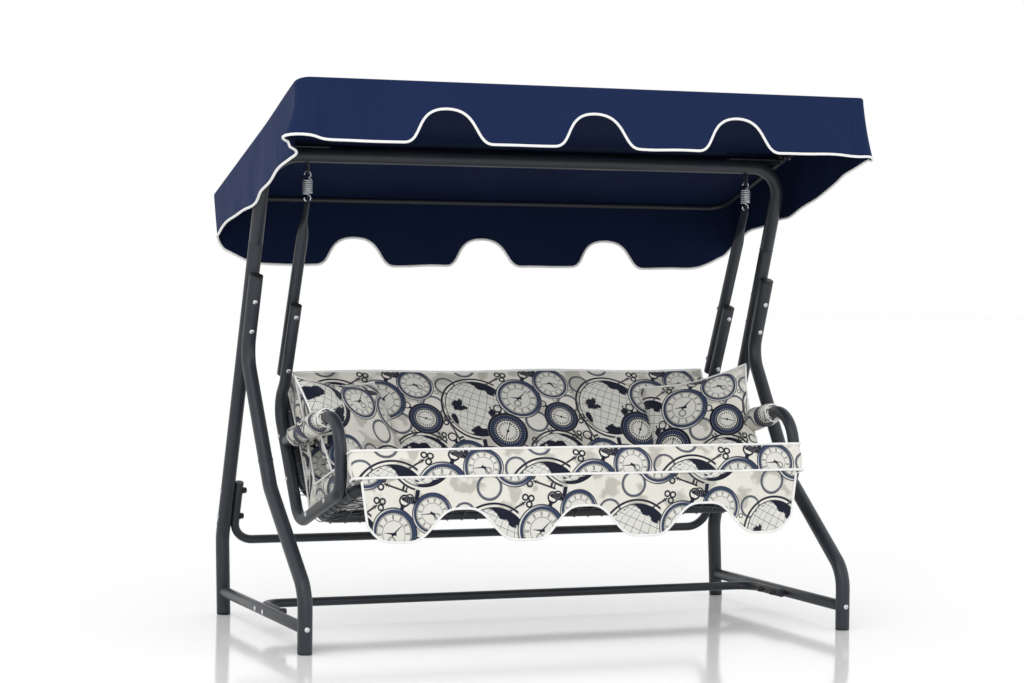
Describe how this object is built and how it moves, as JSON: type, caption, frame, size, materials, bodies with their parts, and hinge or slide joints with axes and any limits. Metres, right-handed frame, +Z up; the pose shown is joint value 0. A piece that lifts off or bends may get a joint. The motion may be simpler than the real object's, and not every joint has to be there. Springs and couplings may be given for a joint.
{
  "type": "canopy swing bench",
  "caption": "Garden swing bench: a bent-tube steel stand, a cushioned seat hung on springs, and a tilting scalloped sun canopy.",
  "frame": {"origin": "on the ground, midway between the feet and under the middle of the bench", "axes": "+X to the right as seen from in front, along the bench; +Y towards the back; +Z up"},
  "size_m": [1.984, 1.0966, 1.8056],
  "materials": {
    "powder_coat": "anthracite powder coat, satin",
    "zinc": "bright zinc plate",
    "plastic": "black moulded plastic, satin",
    "canopy_cloth": "navy woven polyester",
    "print_cloth": "cream cotton with a navy and grey print, white piping",
    "wire": "galvanised wire"
  },
  "bodies": {
    "stand": {"top_bar": "powder_coat", "rear_stretcher": "powder_coat", "lower_stretcher": "powder_coat", "rear_leg_left": "powder_coat", "rear_leg_right": "powder_coat", "front_leg_left": "powder_coat", "front_leg_right": "powder_coat", "joint_spigot_left": "powder_coat", "joint_spigot_right": "powder_coat", "side_rail_left": "powder_coat", "side_rail_right": "powder_coat", "foot_cap_front_left": "plastic", "foot_cap_front_right": "plastic", "foot_cap_rear_left": "plastic", "foot_cap_rear_right": "plastic", "front_leg_cap_left": "plastic", "front_leg_cap_right": "plastic", "leg_bolt_1_left": "zinc", "leg_bolt_1_right": "zinc", "leg_bolt_2_left": "zinc", "leg_bolt_2_right": "zinc", "stretcher_bolt_1_left": "zinc", "stretcher_bolt_1_right": "zinc", "stretcher_bolt_2_left": "zinc", "stretcher_bolt_2_right": "zinc", "foot_bolt_left": "zinc", "foot_bolt_right": "zinc", "spring_eye_left": "powder_coat", "spring_eye_right": "powder_coat", "canopy_bracket_left": "powder_coat", "canopy_bracket_right": "powder_coat", "canopy_pivot_left": "zinc", "canopy_pivot_right": "zinc"},
    "canopy": {"canopy_front_frame": "powder_coat", "canopy_rear_frame": "powder_coat", "canopy_cross_bar": "powder_coat", "canopy_cloth": "canopy_cloth"},
    "springs": {"spring_left": "zinc", "spring_right": "zinc"},
    "seat": {"seat_frame": "powder_coat", "seat_mesh": "wire", "seat_cushion": "print_cloth", "back_frame": "powder_coat", "back_mesh": "wire", "back_cushion": "print_cloth", "flounce": "print_cloth", "hanger_left": "powder_coat", "hanger_right": "powder_coat", "hoop_left": "powder_coat", "hoop_right": "powder_coat", "hoop_cap_left": "plastic", "hoop_cap_right": "plastic", "hanger_bolt_1_left": "zinc", "hanger_bolt_1_right": "zinc", "hanger_bolt_2_left": "zinc", "hanger_bolt_2_right": "zinc", "arm_pad_left": "print_cloth", "arm_pad_right": "print_cloth", "pillow_left": "print_cloth", "pillow_right": "print_cloth"}
  },
  "joints": [
    {"name": "canopy_tilt", "type": "hinge", "parent": "stand", "child": "canopy", "pos_m": [0, 0, 1.629], "axis": [1, 0, 0], "range_deg": [0, 36]},
    {"name": "swing", "type": "hinge", "parent": "stand", "child": "springs", "pos_m": [0, 0, 1.538], "axis": [1, 0, 0], "range_deg": [-20, 20]},
    {"name": "bounce", "type": "slide", "parent": "springs", "child": "seat", "axis": [0, 0, -1], "range_m": [0, 0.025], "stiffness_N_per_m": 90000, "springref_m": -0.0085, "deforming": ["spring_left", "spring_right"]}
  ]
}
